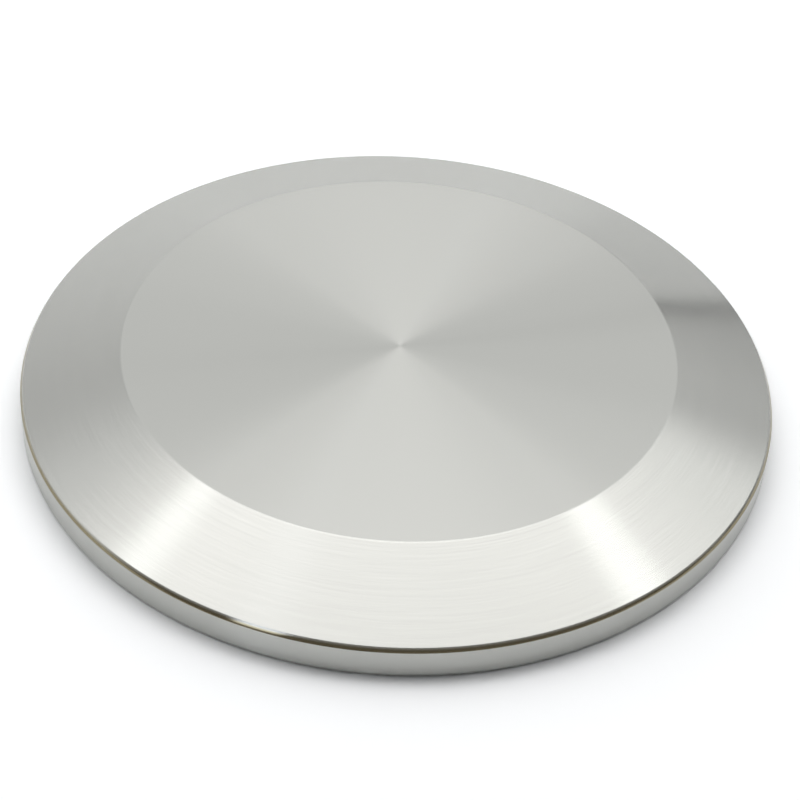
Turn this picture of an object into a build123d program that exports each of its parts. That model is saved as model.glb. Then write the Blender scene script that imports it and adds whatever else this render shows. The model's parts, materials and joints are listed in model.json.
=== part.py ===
"""Sanitary clamp end cap for a 64 mm flange, turned from one piece of stainless steel.

The cap closes the end of a tube. Its flange has the section that all clamp ferrules share:
a straight rim, a 20 degree taper that the clamp's jaws wedge on, and underneath a half-round
groove for the gasket's bead with the sealing face set back inside it.

Frame: the origin is the centre of the sealing land, the narrow ring that the cap stands on
and that meets the ferrule. +Z points out of the joint, towards the bare outer face.
Lengths are in millimetres and angles in degrees.
"""

from build123d import *
import math
import os

# Outside form
flange_diameter = 64.0  # outside diameter that the clamp closes round
cap_thickness = 6.0  # from the sealing land to the outer face
rim_height = 2.9  # straight rim, up to the sharp corner under the taper
taper_angle = 20.0  # slope of the clamping taper, from the plane of the land

# Sealing side
groove_diameter = 56.5  # centre circle of the gasket groove
groove_radius = 2.35  # round section of the groove, centred on the plane of the land
face_setback = 0.8  # sealing face above the land: half the gasket's web

# Edges left by the finishing tool
face_corner_radius = 0.6  # rolled, between the outer face and the taper
rim_corner_radius = 0.4  # rolled, between the taper and the rim
rim_foot_chamfer = 0.2  # between the rim and the land
groove_lip_chamfer = 0.1  # both lips of the groove

# What follows from them
flange_radius = flange_diameter / 2
groove_centre = groove_diameter / 2
taper_width = (cap_thickness - rim_height) / math.tan(math.radians(taper_angle))
face_radius = flange_radius - taper_width


def flange_outline():
    """Half section of the blank: land, rim, taper and outer face, out from the axis."""
    blank = Polyline(
        (0, 0),
        (flange_radius, 0),
        (flange_radius, rim_height),
        (face_radius, cap_thickness),
        (0, cap_thickness),
        close=True,
    )
    return make_face(blank)


def sealing_step():
    """Half section of the shallow counterbore that sets the sealing face back from the land."""
    step = Rectangle(groove_centre, face_setback, align=(Align.MIN, Align.MIN))
    return step


def gasket_groove():
    """Section of the bead groove: a full circle, of which the half above the land cuts."""
    return Pos(groove_centre, 0) * Circle(groove_radius)


def corner(section, x, y):
    """The corner of the section nearest to a point of its plane."""
    return section.vertices().sort_by_distance((x, y, 0))[0]


def cap_section():
    """The finished half section: rolled corners outside, chamfers on the sealing side."""
    section = flange_outline() - sealing_step() - gasket_groove()
    lip_reach = math.sqrt(groove_radius**2 - face_setback**2)
    rolled_corners = [
        (face_radius, cap_thickness, face_corner_radius),
        (flange_radius, rim_height, rim_corner_radius),
    ]
    for x, y, radius in rolled_corners:
        section = fillet(corner(section, x, y), radius)
    chamfered_corners = [
        (flange_radius, 0, rim_foot_chamfer),
        (groove_centre + groove_radius, 0, groove_lip_chamfer),
        (groove_centre - lip_reach, face_setback, groove_lip_chamfer),
    ]
    for x, y, length in chamfered_corners:
        section = chamfer(corner(section, x, y), length)
    return section


def end_cap():
    """The whole cap: its section stood up on the XZ plane and turned about +Z."""
    return revolve(Plane.XZ * cap_section(), axis=Axis.Z)


def main():
    os.makedirs("parts", exist_ok=True)
    cap = end_cap()
    cap.label = "end_cap"
    export_step(cap, "parts/end_cap.step")


main()
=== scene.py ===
"""Looks of the sanitary clamp end cap: the turned cap itself, and a pale studio to see it in.

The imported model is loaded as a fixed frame. The cap is built again over it as one smooth surface of
revolution, because bare turned steel shows every facet. It has the same section, apart from the
corner over the rim, which is rolled a little flatter. The stage is a white floor and a ring of soft
panels. Everything is in metres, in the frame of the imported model: the cap stands on its sealing land
at Z = 0 and its bare face looks up.
"""

import json
import math
from typing import NamedTuple

import bpy
import numpy as np
from mathutils import Matrix, Vector


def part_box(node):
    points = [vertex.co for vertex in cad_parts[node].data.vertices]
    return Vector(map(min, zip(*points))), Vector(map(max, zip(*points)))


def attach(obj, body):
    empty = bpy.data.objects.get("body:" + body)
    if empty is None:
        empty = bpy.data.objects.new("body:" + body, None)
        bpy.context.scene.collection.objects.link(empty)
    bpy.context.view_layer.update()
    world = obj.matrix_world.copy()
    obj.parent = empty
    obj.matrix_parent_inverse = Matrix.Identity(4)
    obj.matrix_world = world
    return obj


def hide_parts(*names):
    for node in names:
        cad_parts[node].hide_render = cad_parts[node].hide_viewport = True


bl_info = {
    "name": "Clamp End Cap",
    "version": (1, 0, 0),
    "blender": (4, 5, 0),
    "location": "View3D > Sidebar > End Cap",
    "description": "Builds a turned stainless steel clamp end cap and a pale studio for it",
    "category": "Add Mesh",
}

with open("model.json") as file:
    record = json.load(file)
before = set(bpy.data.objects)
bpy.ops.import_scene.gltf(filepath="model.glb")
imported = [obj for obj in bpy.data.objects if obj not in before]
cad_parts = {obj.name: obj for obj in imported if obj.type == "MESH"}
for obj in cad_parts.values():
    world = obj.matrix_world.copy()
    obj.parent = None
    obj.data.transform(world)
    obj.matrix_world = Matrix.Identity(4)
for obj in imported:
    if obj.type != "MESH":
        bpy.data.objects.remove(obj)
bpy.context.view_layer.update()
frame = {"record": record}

CAP_NODE = "end_cap"
MM = 0.001


def frame_sizes():
    """The cap's main sizes in metres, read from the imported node's box and its mounts."""
    low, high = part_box(CAP_NODE)
    mounts = {mount["name"]: mount for mount in frame["record"]["mounts"]}
    thickness = high.z - low.z
    groove_x, _, groove_depth = mounts["gasket_groove"]["pos_m"]  # its deepest point
    taper_x, _, taper_z = mounts["clamp_taper"]["pos_m"]  # halfway up the slope
    return {
        "flange_diameter": 2 * high.x,
        "face_diameter": 2 * (2 * taper_x - high.x),
        "thickness": thickness,
        "rim_height": 2 * taper_z - thickness,
        "groove_diameter": 2 * groove_x,
        "groove_radius": groove_depth,
        "face_setback": mounts["seal_face"]["pos_m"][2],
    }


SIZES = frame_sizes()


def linear(hex_colour):
    """An sRGB hex colour as linear RGB: each channel undoes the sRGB curve."""
    channels = [int(hex_colour[i : i + 2], 16) / 255 for i in (1, 3, 5)]
    return [c / 12.92 if c <= 0.04045 else ((c + 0.055) / 1.055) ** 2.4 for c in channels]


def length(name, description, default):
    """A size property in metres."""
    return bpy.props.FloatProperty(
        name=name, description=description, default=default, min=0, precision=6, unit="LENGTH"
    )


def colour(name, description, hex_colour):
    """A colour property whose default is written as sRGB hex."""
    return bpy.props.FloatVectorProperty(
        name=name, description=description, default=linear(hex_colour), min=0, max=1, subtype="COLOR"
    )


def share(name, description, default):
    """A property from 0 to 1."""
    return bpy.props.FloatProperty(
        name=name, description=description, default=default, min=0, max=1, subtype="FACTOR"
    )


class CapSizes(bpy.types.PropertyGroup):
    """Sizes of the cap's section."""

    flange_diameter: length("Flange", "Diameter that the clamp closes round", SIZES["flange_diameter"])
    face_diameter: length("Face", "Diameter of the outer face at the taper", SIZES["face_diameter"])
    thickness: length("Thickness", "From the sealing land to the outer face", SIZES["thickness"])
    rim_height: length("Rim", "Straight rim up to the taper's sharp corner", SIZES["rim_height"])
    groove_diameter: length("Groove circle", "Centre circle of the gasket groove", SIZES["groove_diameter"])
    groove_radius: length("Groove radius", "Round section of the gasket groove", SIZES["groove_radius"])
    face_setback: length("Setback", "Sealing face above the land", SIZES["face_setback"])
    face_corner: length("Face corner", "Rolled corner between face and taper", 0.6 * MM)
    rim_corner: length("Rim corner", "Rolled corner between taper and rim", 0.4 * MM)
    rim_bow: bpy.props.FloatProperty(
        name="Rim bow",
        description="How far the rolled corner over the rim turns between its two edges",
        default=math.radians(24),
        min=0.01,
        subtype="ANGLE",
    )
    foot_chamfer: length("Foot chamfer", "Chamfer between rim and land", 0.2 * MM)
    lip_chamfer: length("Lip chamfer", "Chamfer on both lips of the groove", 0.1 * MM)


class CapFinish(bpy.types.PropertyGroup):
    """Finish of the turned steel."""

    steel: colour("Steel", "Colour of the bare stainless steel", "#BDBEBA")
    # Painted reflection: a darker, browner colour for the corner over the rim, standing in for the dim side
    # that it mirrors
    edge: colour("Edge", "Colour of the burnished corner over the rim", "#888069")
    roughness: share("Roughness", "Roughness of the turned steel", 0.25)
    rolled_roughness: share("Rolled roughness", "Roughness of the corner over the rim", 0.1)
    mark_pitch: length("Mark pitch", "Distance from one visible turning mark to the next", 0.13 * MM)
    mark_length: length("Mark length", "How far round the cap a visible mark runs", 8 * MM)
    mark_height: length("Mark height", "Height of the visible turning marks", 0.0005 * MM)
    rolled_mark_height: length("Rolled mark height", "Height of the marks over the rim", 0.006 * MM)
    mark_contrast: share("Mark contrast", "How much lighter or darker a mark on the taper is", 0.06)


class StudioSettings(bpy.types.PropertyGroup):
    """The pale studio."""

    paper: colour("Floor", "Colour of the matt paper floor", "#F5F7F8")
    whitening: bpy.props.FloatProperty(
        name="Whitening",
        description="How much brighter than it is the floor looks to the camera and in the steel",
        default=0.42,
        min=0,
    )
    floor_width: length("Floor width", "Side of the floor sheet", 12.0)
    panel_distance: length("Panel distance", "From the cap's centre to the soft panels", 3.0)


# ---------------------------------------------------------------------------------------------
# Section of the cap
# ---------------------------------------------------------------------------------------------

POLISH_AND_REFLECTION_REACH = 0.6  # share of the corner over the rim, from the taper, at which its polish and painted dark reflection are full


class Run(NamedTuple):
    """One run of the section, with a row for each of its points."""

    points: np.ndarray  # radius and height
    normals: np.ndarray  # unit vectors out of the steel
    looks: np.ndarray  # polish, which also lays on the painted dark reflection, and marks, which the steel's material reads


def smooth_step(x):
    """0 below 0, 1 above 1, and 3x^2 - 2x^3 between."""
    x = np.clip(x, 0, 1)
    return x * x * (3 - 2 * x)


def straight(start, end, steps, marks=0.0):
    """A straight run: points at even steps, with the run's left-hand normal."""
    part = np.linspace(0, 1, steps + 1)[:, None]
    start, end = np.array(start), np.array(end)
    along = (end - start) / np.linalg.norm(end - start)
    points = start + part * (end - start)
    normals = np.tile([-along[1], along[0]], (steps + 1, 1))
    looks = np.tile([0.0, marks], (steps + 1, 1))
    return Run(points, normals, looks)


def arc(centre, radius, first_angle, last_angle, steps, hollow=False):
    """A round run: centre plus radius times (cos, sin) of even angles in degrees. Its normals point
    away from the centre, or towards it where the surface is hollow."""
    angle = np.radians(np.linspace(first_angle, last_angle, steps + 1))
    outward = np.stack([np.cos(angle), np.sin(angle)], axis=1)
    points = np.array(centre) + radius * outward
    return Run(points, -outward if hollow else outward, np.zeros((steps + 1, 2)))


def rolled_bow(start, end, turn, steps):
    """A shallow arc through two points that turns by this many degrees from one to the other. Its
    radius is the chord over 2 sin(turn / 2), and its centre lies radius times cos(turn / 2) behind
    the middle of the chord. Its polish, which also lays on the painted dark reflection, is a smooth
    step from 0 at the start to 1 further on."""
    (x, y), (run, rise) = np.add(start, end) / 2, np.subtract(end, start)
    middle = math.degrees(math.atan2(run, -rise))  # angle of its normal halfway
    radius = math.hypot(run, rise) / (2 * math.sin(math.radians(turn / 2)))
    back = radius * math.cos(math.radians(turn / 2))
    centre = (x - back * math.cos(math.radians(middle)), y - back * math.sin(math.radians(middle)))
    bow = arc(centre, radius, middle + turn / 2, middle - turn / 2, steps)
    bow.looks[:, 0] = smooth_step(np.linspace(0, 1, steps + 1) / POLISH_AND_REFLECTION_REACH)
    return bow


def cap_section(sizes):
    """The half section as runs in order: from the centre of the outer face, out over the taper and
    rim, and back underneath to the axis.

    A corner of radius R between two lines that turn by t starts R tan(t / 2) before their sharp
    corner. The face corner is such an arc. The rim corner has its ends in the same places but is
    rolled flatter, so it meets the taper and the wall at a crisp edge. A chamfered lip takes its
    length off the flat beside it and off the groove's arc."""
    rim, face = sizes.flange_diameter / 2, sizes.face_diameter / 2
    top, wall_top = sizes.thickness, sizes.rim_height
    taper = math.atan2(top - wall_top, rim - face)
    slope = math.degrees(taper)
    face_cut = sizes.face_corner * math.tan(taper / 2)
    face_centre = (face - face_cut, top - sizes.face_corner)
    face_arc = arc(face_centre, sizes.face_corner, 90, 90 - slope, steps=8)
    rim_cut = sizes.rim_corner * math.tan(math.radians((90 - slope) / 2))
    taper_end = (rim - rim_cut * math.cos(taper), wall_top + rim_cut * math.sin(taper))
    rim_bow = rolled_bow(taper_end, (rim, wall_top - rim_cut), math.degrees(sizes.rim_bow), steps=16)

    groove, bead = sizes.groove_diameter / 2, sizes.groove_radius
    lip = sizes.lip_chamfer
    lip_angle = math.degrees(lip / bead)
    step_angle = math.degrees(math.asin(sizes.face_setback / bead))  # where the sealing face cuts the arc
    groove_arc = arc((groove, 0), bead, lip_angle, 180 - step_angle - lip_angle, steps=40, hollow=True)
    seal_radius = groove - bead * math.cos(math.radians(step_angle)) - lip

    foot_top = (rim, sizes.foot_chamfer)
    foot = (rim - sizes.foot_chamfer, 0)
    land_edge = (groove + bead + lip, 0)
    seal_edge = (seal_radius, sizes.face_setback)
    return [
        straight((0, top), face_arc.points[0], steps=14),
        face_arc,
        straight(face_arc.points[-1], taper_end, steps=8, marks=1.0),
        rim_bow,
        straight(rim_bow.points[-1], foot_top, steps=4),
        straight(foot_top, foot, steps=1),
        straight(foot, land_edge, steps=2),
        straight(land_edge, groove_arc.points[0], steps=1),
        groove_arc,
        straight(groove_arc.points[-1], seal_edge, steps=1),
        straight(seal_edge, (0, sizes.face_setback), steps=10),
    ]


# ---------------------------------------------------------------------------------------------
# Mesh of the cap
# ---------------------------------------------------------------------------------------------

TURNS = 720  # steps round the axis
TURNING_MAP = "OFBake"  # UV map laid out as a lathe sees the cap: round it, and along its section
POLISH_AND_REFLECTION = "polish"  # 0 where the steel is as turned, 1 where the corner over the rim is smoother and carries the painted dark reflection
MARKS = "marks"  # how strongly the turning marks show


def turned_mesh(name, runs):
    """Carries a section round the axis, and returns the mesh and the section's length. A point (r, z)
    of the section at angle a lies at (r cos a, r sin a, z), and its normal turns with it. The
    section's first and last points lie on the axis and are one vertex each, with a fan of triangles;
    the rest are rings joined by quads. Each face corner has its run's own normal and looks, so that
    chamfers stay crisp. Its UV goes once round the axis, and from 1 to 0 along the section."""
    points = np.concatenate([runs[0].points[:1]] + [run.points[1:] for run in runs])
    start_normals = np.concatenate([run.normals[:-1] for run in runs])  # where each strip starts
    end_normals = np.concatenate([run.normals[1:] for run in runs])
    start_looks = np.concatenate([run.looks[:-1] for run in runs])
    end_looks = np.concatenate([run.looks[1:] for run in runs])
    strips = len(points) - 1
    reach = np.concatenate([[0], np.cumsum(np.linalg.norm(np.diff(points, axis=0), axis=1))])

    angle = 2 * np.pi * np.arange(TURNS) / TURNS
    ring = np.stack([np.cos(angle), np.sin(angle)], axis=1)
    rings = points[1:-1]
    sides = (rings[:, None, :1] * ring[None]).reshape(-1, 2)
    heights = np.repeat(rings[:, 1], TURNS)[:, None]
    vertices = np.concatenate(
        [[[0, 0, points[0, 1]]], np.hstack([sides, heights]), [[0, 0, points[-1, 1]]]]
    )

    # Corners of every face as (row of the section, column round the axis). The first and last rows
    # lie on the axis, and the corner of a fan there has the column halfway between its neighbours.
    column = np.arange(TURNS)
    row, near = np.meshgrid(np.arange(1, strips - 1), column, indexing="ij")
    far = near + 1
    first_fan = np.tile([0, 1, 1], (TURNS, 1))
    last_fan = np.tile([strips - 1, strips, strips - 1], (TURNS, 1))
    groups = [
        (first_fan, np.stack([column + 0.5, column, column + 1], axis=1)),
        (
            np.stack([row, row + 1, row + 1, row], axis=2).reshape(-1, 4),
            np.stack([near, near, far, far], axis=2).reshape(-1, 4),
        ),
        (last_fan, np.stack([column, column + 0.5, column + 1], axis=1)),
    ]

    def vertex_index(rows, columns):
        """The vertex at each row and column: the axis, or its place in the row's ring."""
        inner = 1 + (rows - 1) * TURNS + columns.astype(int) % TURNS
        return np.where(rows == 0, 0, np.where(rows == strips, len(vertices) - 1, inner))

    faces = [face for rows, columns in groups for face in vertex_index(rows, columns).tolist()]

    # Per face corner: the strip it belongs to gives the normal and looks, row and column give the UV
    corner_row = np.concatenate([rows.ravel() for rows, _ in groups])
    corner_column = np.concatenate([columns.ravel() for _, columns in groups])
    strip = np.concatenate([np.repeat(rows.min(axis=1), rows.shape[1]) for rows, _ in groups])
    at_start = (corner_row == strip)[:, None]
    section_normal = np.where(at_start, start_normals[strip], end_normals[strip])
    looks = np.where(at_start, start_looks[strip], end_looks[strip]).astype(np.float32)
    turn = 2 * np.pi * corner_column / TURNS
    normals = np.stack(
        [section_normal[:, 0] * np.cos(turn), section_normal[:, 0] * np.sin(turn), section_normal[:, 1]],
        axis=1,
    )
    uv = np.stack([corner_column / TURNS, 1 - reach[corner_row] / reach[-1]], axis=1)

    mesh = bpy.data.meshes.new(name)
    mesh.from_pydata(vertices.tolist(), [], faces)
    mesh.uv_layers.new(name=TURNING_MAP).uv.foreach_set("vector", uv.astype(np.float32).ravel())
    for look, values in ((POLISH_AND_REFLECTION, looks[:, 0]), (MARKS, looks[:, 1])):
        mesh.attributes.new(look, "FLOAT", "CORNER").data.foreach_set("value", values)
    mesh.polygons.foreach_set("use_smooth", np.ones(len(faces), bool))
    mesh.normals_split_custom_set(normals)
    mesh.update()
    return mesh, reach[-1]


# ---------------------------------------------------------------------------------------------
# Material of the cap
# ---------------------------------------------------------------------------------------------


def add_node(tree, kind, inputs=None, **settings):
    """Adds a node with its settings. An input that is another node's socket is linked to it."""
    made = tree.nodes.new(kind)
    for name, value in settings.items():
        setattr(made, name, value)
    for name, value in (inputs or {}).items():
        if isinstance(value, bpy.types.NodeSocket):
            tree.links.new(value, made.inputs[name])
        else:
            made.inputs[name].default_value = value
    return made


def empty_material(name):
    """A material with an empty node tree."""
    material = bpy.data.materials.new(name)
    material.use_nodes = True
    material.node_tree.nodes.clear()
    return material


def turned_steel(finish, section_length):
    """Stainless steel bar faced and turned on a lathe. The tool leaves fine grooves that run round
    the axis, so the steel mirrors sharply along them and smears light across them: lamps show as
    bright spokes, which meet at the centre of the face. The grooves themselves are a few microns
    apart, too fine to draw, and are in the roughness. The marks drawn here are the few that show,
    as coarse as they need to be for that. The corner over the rim is rolled by the tool: smoother,
    with its marks pressed deeper. It is also painted a darker, browner colour, a painted reflection
    of the dim side that it mirrors."""
    material = empty_material("turned_stainless_steel")
    tree = material.node_tree

    # Marks: a noise in space, squeezed along the section to the pitch of the marks
    place = add_node(tree, "ShaderNodeUVMap", uv_map=TURNING_MAP)
    split = add_node(tree, "ShaderNodeSeparateXYZ", {"Vector": place.outputs["UV"]})
    marks_along = section_length / finish.mark_pitch
    along = add_node(tree, "ShaderNodeMath", {0: split.outputs["Y"], 1: marks_along}, operation="MULTIPLY")
    space = add_node(tree, "ShaderNodeTexCoord")
    patches = 1 / finish.mark_length
    flat = add_node(
        tree,
        "ShaderNodeVectorMath",
        {0: space.outputs["Object"], 1: (patches, patches, 0)},
        operation="MULTIPLY",
    )
    rise = add_node(tree, "ShaderNodeCombineXYZ", {"Z": along.outputs[0]})
    spot = add_node(tree, "ShaderNodeVectorMath", {0: flat.outputs[0], 1: rise.outputs[0]}, operation="ADD")
    marks = add_node(
        tree,
        "ShaderNodeTexNoise",
        {"Vector": spot.outputs[0], "Scale": 1.0, "Detail": 2.0, "Roughness": 0.6},
    )

    # Rolled corner: smoother, with deeper marks
    rolled = add_node(tree, "ShaderNodeAttribute", attribute_name=POLISH_AND_REFLECTION)
    depth = add_node(
        tree,
        "ShaderNodeMapRange",
        {"Value": rolled.outputs["Fac"], "To Min": finish.mark_height, "To Max": finish.rolled_mark_height},
    )
    roughness = add_node(
        tree,
        "ShaderNodeMapRange",
        {"Value": rolled.outputs["Fac"], "To Min": finish.roughness, "To Max": finish.rolled_roughness},
    )
    bump = add_node(
        tree, "ShaderNodeBump", {"Height": marks.outputs["Fac"], "Distance": depth.outputs["Result"]}
    )

    # Each mark on the taper is a shade lighter or darker than the next: 1 + swing (noise - 0.5)
    marked = add_node(tree, "ShaderNodeAttribute", attribute_name=MARKS)
    swing = add_node(
        tree,
        "ShaderNodeMath",
        {0: marked.outputs["Fac"], 1: 2 * finish.mark_contrast},
        operation="MULTIPLY",
    )
    centred = add_node(tree, "ShaderNodeMath", {0: marks.outputs["Fac"], 1: 0.5}, operation="SUBTRACT")
    shade = add_node(
        tree,
        "ShaderNodeMath",
        {0: centred.outputs[0], 1: swing.outputs[0], 2: 1.0},
        operation="MULTIPLY_ADD",
    )
    bare = add_node(
        tree, "ShaderNodeVectorMath", {0: tuple(finish.steel), "Scale": shade.outputs[0]}, operation="SCALE"
    )

    # Painted reflection: the corner over the rim is mixed to a darker, browner colour that stands in for
    # the dim side it mirrors
    steel = add_node(
        tree,
        "ShaderNodeMix",
        {"Factor": rolled.outputs["Fac"], "A": bare.outputs["Vector"], "B": tuple(finish.edge)},
        data_type="VECTOR",
    )

    grain = add_node(tree, "ShaderNodeTangent", direction_type="UV_MAP", uv_map=TURNING_MAP)
    shader = add_node(
        tree,
        "ShaderNodeBsdfPrincipled",
        {
            "Base Color": steel.outputs["Result"],
            "Metallic": 1.0,
            "Roughness": roughness.outputs["Result"],
            "Anisotropic": 1.0,
            "Anisotropic Rotation": 0.25,  # a quarter turn: smeared across the grooves, not along them
            "Tangent": grain.outputs["Tangent"],
            "Normal": bump.outputs["Normal"],
        },
    )
    add_node(tree, "ShaderNodeOutputMaterial", {"Surface": shader.outputs["BSDF"]})
    return material


# ---------------------------------------------------------------------------------------------
# Studio
# ---------------------------------------------------------------------------------------------

FLOOR_GAP = 0.01 * MM  # the floor lies this far under the land, so that they never share a plane
COVER = "cover"  # how much of a soft panel is there, 0 at its faded edge
PANEL_STEPS = 48  # steps across and up a panel
PANEL_GAP = 0.005  # each panel stands this share of the distance nearer than the one before


def link(thing):
    """Puts an object into the scene."""
    bpy.context.scene.collection.objects.link(thing)
    return thing


def paper_floor(studio):
    """A flat sheet of matt white paper, a hair under the cap. From below it is see-through, for the
    ray that comes up through it and for what that ray meets, so that the sealing side can be seen."""
    half = studio.floor_width / 2
    mesh = bpy.data.meshes.new("paper_floor")
    corners = [(x * half, y * half, -FLOOR_GAP) for x, y in ((-1, -1), (1, -1), (1, 1), (-1, 1))]
    mesh.from_pydata(corners, [], [(0, 1, 2, 3)])
    material = empty_material("matt_white_paper")
    tree = material.node_tree

    # Brighter to the camera and in what it sees through or mirrored: colour x (1 + whitening)
    rays = add_node(tree, "ShaderNodeLightPath")
    in_view = add_node(
        tree,
        "ShaderNodeMath",
        {0: rays.outputs["Is Camera Ray"], 1: rays.outputs["Is Glossy Ray"]},
        operation="ADD",
    )
    looked_at = add_node(
        tree,
        "ShaderNodeMath",
        {0: in_view.outputs[0], 1: rays.outputs["Is Transmission Ray"]},
        operation="ADD",
        use_clamp=True,
    )
    gain = add_node(
        tree,
        "ShaderNodeMath",
        {0: looked_at.outputs[0], 1: studio.whitening, 2: 1.0},
        operation="MULTIPLY_ADD",
    )
    seen = add_node(
        tree,
        "ShaderNodeVectorMath",
        {0: tuple(studio.paper), "Scale": gain.outputs[0]},
        operation="SCALE",
    )
    matt = add_node(tree, "ShaderNodeBsdfDiffuse", {"Color": seen.outputs["Vector"]})

    # Nothing at all from below
    sheet = add_node(tree, "ShaderNodeNewGeometry")
    from_below = add_node(
        tree,
        "ShaderNodeMath",
        {0: sheet.outputs["Backfacing"], 1: rays.outputs["Transparent Depth"]},
        operation="ADD",
        use_clamp=True,
    )
    clear = add_node(tree, "ShaderNodeBsdfTransparent")
    paper = add_node(
        tree, "ShaderNodeMixShader", {0: from_below.outputs[0], 1: matt.outputs[0], 2: clear.outputs[0]}
    )
    add_node(tree, "ShaderNodeOutputMaterial", {"Surface": paper.outputs[0]})
    mesh.materials.append(material)
    floor = link(bpy.data.objects.new("paper_floor", mesh))


def white_world():
    """A white room at strength 1, so that a colour renders as it is written."""
    world = bpy.data.worlds.new("white_room")
    bpy.context.scene.world = world
    world.use_nodes = True
    world.node_tree.nodes.clear()
    air = add_node(world.node_tree, "ShaderNodeBackground", {"Color": (1, 1, 1, 1), "Strength": 1.0})
    add_node(world.node_tree, "ShaderNodeOutputWorld", {"Surface": air.outputs[0]})


def steel_only(tree, level):
    """The level, or 0 where the steel would throw it on to the floor: level x (1 - diffuse bounces),
    held at 0 or more."""
    rays = add_node(tree, "ShaderNodeLightPath")
    direct = add_node(
        tree,
        "ShaderNodeMath",
        {0: 1.0, 1: rays.outputs["Diffuse Depth"]},
        operation="SUBTRACT",
        use_clamp=True,
    )
    kept = add_node(tree, "ShaderNodeMath", {0: direct.outputs[0], 1: level}, operation="MULTIPLY")
    return kept.outputs[0]


def panel_cloth(name, level, tint, lights):
    """Cloth lit from behind. It glows at one level and thins out with its cover."""
    material = empty_material(name)
    tree = material.node_tree
    strength = steel_only(tree, level) if lights == "steel" else level
    glow = add_node(tree, "ShaderNodeEmission", {"Color": (*linear(tint), 1), "Strength": strength})
    clear = add_node(tree, "ShaderNodeBsdfTransparent")
    seen = add_node(tree, "ShaderNodeAttribute", attribute_name=COVER)
    mixed = add_node(
        tree, "ShaderNodeMixShader", {0: seen.outputs["Fac"], 1: clear.outputs[0], 2: glow.outputs[0]}
    )
    add_node(tree, "ShaderNodeOutputMaterial", {"Surface": mixed.outputs[0]})
    return material


def soft_panel(
    name, distance, azimuth, elevation, width, height, fade, level, tint="#FFFFFF", lean=0, lights="all"
):
    """A piece of a sphere round the cap that glows at one level and fades out at its edges.

    The angles are what the cap sees, in degrees: azimuth 0 is +X and 90 is +Y, straight away from
    the camera. A point at u across and v up the panel lies in the direction (cos v cos u,
    cos v sin u, sin v), leant round (1, 0, 0) and turned so that this points at the panel's middle.
    Its cover is the product of two smooth steps, which pass one half at the stated edges: the first
    fade is the width of the step at the sides, and the second at the top and foot. A panel lights
    all, or the floor alone, or is mirrored by the steel alone. A level of 1 is the white room's."""
    side_fade, top_fade = fade
    reach_u, reach_v = (width + side_fade) / 2, (height + top_fade) / 2
    u, v = np.meshgrid(
        np.linspace(-reach_u, reach_u, PANEL_STEPS + 1), np.linspace(-reach_v, reach_v, PANEL_STEPS + 1)
    )
    across = smooth_step((width / 2 - abs(u)) / side_fade + 0.5)
    upward = smooth_step((height / 2 - abs(v)) / top_fade + 0.5)
    cover = (across * upward).ravel().astype(np.float32)
    u, v = np.radians(u), np.radians(v)
    direction = np.stack([np.cos(v) * np.cos(u), np.cos(v) * np.sin(u), np.sin(v)], axis=-1)
    turns = ((azimuth, "Z"), (-elevation, "Y"), (lean, "X"))
    aside, up, over = (Matrix.Rotation(math.radians(degrees), 3, axis) for degrees, axis in turns)
    turn = aside @ up @ over
    points = (direction.reshape(-1, 3) @ np.array(turn).T) * distance

    row_length = PANEL_STEPS + 1
    corner = (np.arange(PANEL_STEPS)[:, None] * row_length + np.arange(PANEL_STEPS)).ravel()
    faces = np.stack([corner, corner + row_length, corner + row_length + 1, corner + 1], axis=1)
    mesh = bpy.data.meshes.new(name)
    mesh.from_pydata(points.tolist(), [], faces.tolist())
    mesh.attributes.new(COVER, "FLOAT", "POINT").data.foreach_set("value", cover)
    mesh.polygons.foreach_set("use_smooth", np.ones(len(faces), bool))
    mesh.materials.append(panel_cloth(name + "_cloth", level, tint, lights))

    # A panel for the floor alone isn't mirrored, and one for the steel alone doesn't light or shade
    panel = link(bpy.data.objects.new(name, mesh))
    panel.visible_camera = False
    panel.visible_glossy = lights != "floor"
    panel.visible_diffuse = lights != "steel"
    panel.visible_shadow = lights != "steel"


def studio_panels(distance):
    """What the steel mirrors, apart from the white room. Each panel stands a little in front of the
    one before it, so where two overlap the later one covers the earlier."""
    panels = [
        # Name, azimuth, elevation, width, height, fades, level; then tint, lean and what it lights
        # Walls behind and beside the cap and the darker gaps between them, which shade the taper
        ("right_gap", 38, 0, 63, 58, (14, 38), 0.14),
        ("back_wall", 105, 26, 59, 96, (6, 20), 1.0, "#FFFFFF", 55),
        ("right_shade", 65, 10, 4, 38, (2.5, 8), 0.08, "#FFFFFF", -14),
        ("right_post", 72, 10, 13, 38, (0.8, 8), 0.76, "#FFFFFF", -14),
        ("left_gap", 140, 4, 23, 68, (62, 3), 0.5),
        ("right_wall", 0, 44.5, 70, 24, (16, 2.5), 2.25),
        ("left_wall", 179, 63, 46, 29, (4, 33), 0.23),
        # The dim side on which the camera stands: black to the floor, dark grey in the steel
        ("camera_flag", 288, 38, 166, 78, (22, 8), 0.02, "#FFFFFF", 0, "floor"),
        ("camera_side", 287, 38, 163, 78, (22, 8), 0.25, "#FFFAF2", 0, "steel"),
        # Light from above, the two lamps that the taper shows, and the one that the rim's corner shows
        ("overhead", 96, 75, 64, 24, (57, 19), 3.25, "#FFFDFD"),
        ("right_lamp", 17, 55, 5, 8, (0.7, 2), 6.2),
        ("left_lamp", 157, 58, 6, 5.5, (0.8, 3.3), 5.2),
        ("front_lamp", 237, 27, 12, 30, (4, 5), 2.8, "#EEF4FF", 0, "steel"),
    ]
    for order, (name, *place) in enumerate(panels):
        soft_panel(name, distance * (1 - PANEL_GAP * order), *place)


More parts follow.
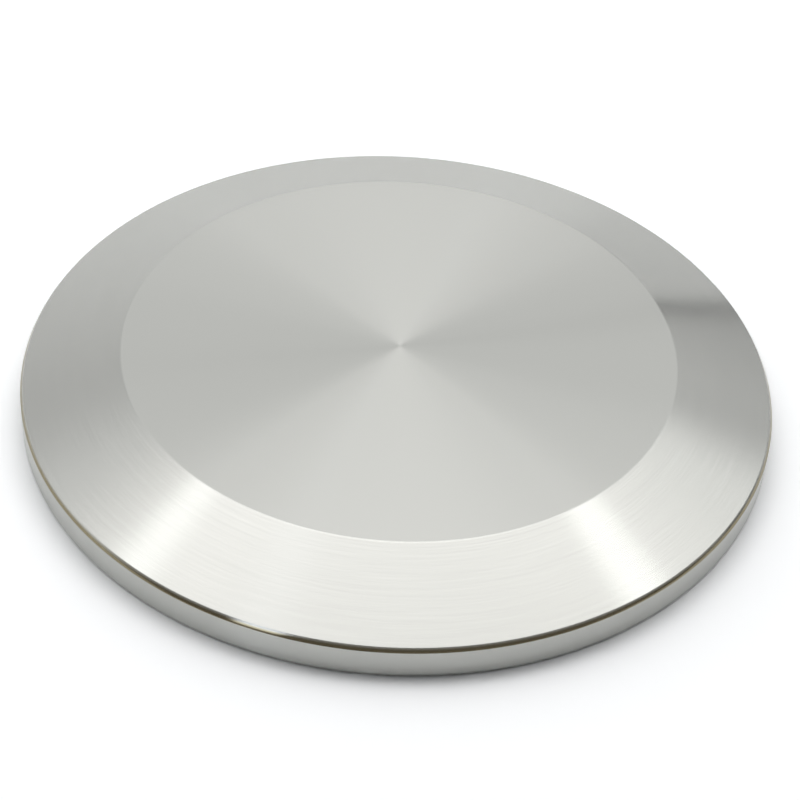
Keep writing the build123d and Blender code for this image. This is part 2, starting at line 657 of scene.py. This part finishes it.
def studio_camera():
    """A long lens that looks down at the cap from the front, with its picture turned a little about
    its own axis."""
    elevation = math.radians(41.30)  # above the floor
    distance = 0.20186  # from the middle of the land
    roll = math.radians(3.66)
    aim = Vector((0.0003, -0.0001, 0))  # a hair beside the middle of the land
    data = bpy.data.cameras.new("camera")
    data.sensor_width = 36
    data.lens = 105.2
    data.clip_start = 0.01
    camera = link(bpy.data.objects.new("camera", data))
    camera.location = (0, -distance * math.cos(elevation), distance * math.sin(elevation))
    look = (aim - camera.location).to_track_quat("-Z", "Y").to_matrix()
    camera.rotation_euler = (look @ Matrix.Rotation(roll, 3, "Z")).to_euler()
    bpy.context.scene.camera = camera


# ---------------------------------------------------------------------------------------------
# Add-on
# ---------------------------------------------------------------------------------------------


class ENDCAP_OT_turn(bpy.types.Operator):
    """Turn the cap from its section and give it its steel finish"""

    bl_idname = "endcap.turn"
    bl_label = "Turn the cap"

    def execute(self, context):
        scene = context.scene
        mesh, section_length = turned_mesh("cap_turned", cap_section(scene.cap_sizes))
        mesh.materials.append(turned_steel(scene.cap_finish, section_length))
        cap = link(bpy.data.objects.new("cap_turned", mesh))
        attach(cap, "root")
        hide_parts(CAP_NODE)
        return {"FINISHED"}


class ENDCAP_OT_stage(bpy.types.Operator):
    """Set up the paper floor, the white room, the soft panels and the camera"""

    bl_idname = "endcap.stage"
    bl_label = "Set the stage"

    def execute(self, context):
        studio = context.scene.cap_studio
        paper_floor(studio)
        white_world()
        studio_panels(studio.panel_distance)
        studio_camera()
        context.scene.view_settings.view_transform = "Standard"
        return {"FINISHED"}


class ENDCAP_PT_panel(bpy.types.Panel):
    """Sizes, finish and operators of the end cap"""

    bl_idname = "ENDCAP_PT_panel"
    bl_label = "End Cap"
    bl_space_type = "VIEW_3D"
    bl_region_type = "UI"
    bl_category = "End Cap"

    def draw(self, context):
        for group in (context.scene.cap_sizes, context.scene.cap_finish, context.scene.cap_studio):
            box = self.layout.box()
            for name in group.__annotations__:
                box.prop(group, name)
        self.layout.operator(ENDCAP_OT_turn.bl_idname)
        self.layout.operator(ENDCAP_OT_stage.bl_idname)


CLASSES = (CapSizes, CapFinish, StudioSettings, ENDCAP_OT_turn, ENDCAP_OT_stage, ENDCAP_PT_panel)


def register():
    for cls in CLASSES:
        bpy.utils.register_class(cls)
    bpy.types.Scene.cap_sizes = bpy.props.PointerProperty(type=CapSizes)
    bpy.types.Scene.cap_finish = bpy.props.PointerProperty(type=CapFinish)
    bpy.types.Scene.cap_studio = bpy.props.PointerProperty(type=StudioSettings)


def unregister():
    del bpy.types.Scene.cap_studio
    del bpy.types.Scene.cap_finish
    del bpy.types.Scene.cap_sizes
    for cls in reversed(CLASSES):
        bpy.utils.unregister_class(cls)


def main():
    register()
    bpy.ops.endcap.turn()
    bpy.ops.endcap.stage()


if __name__ == "__main__":
    main()
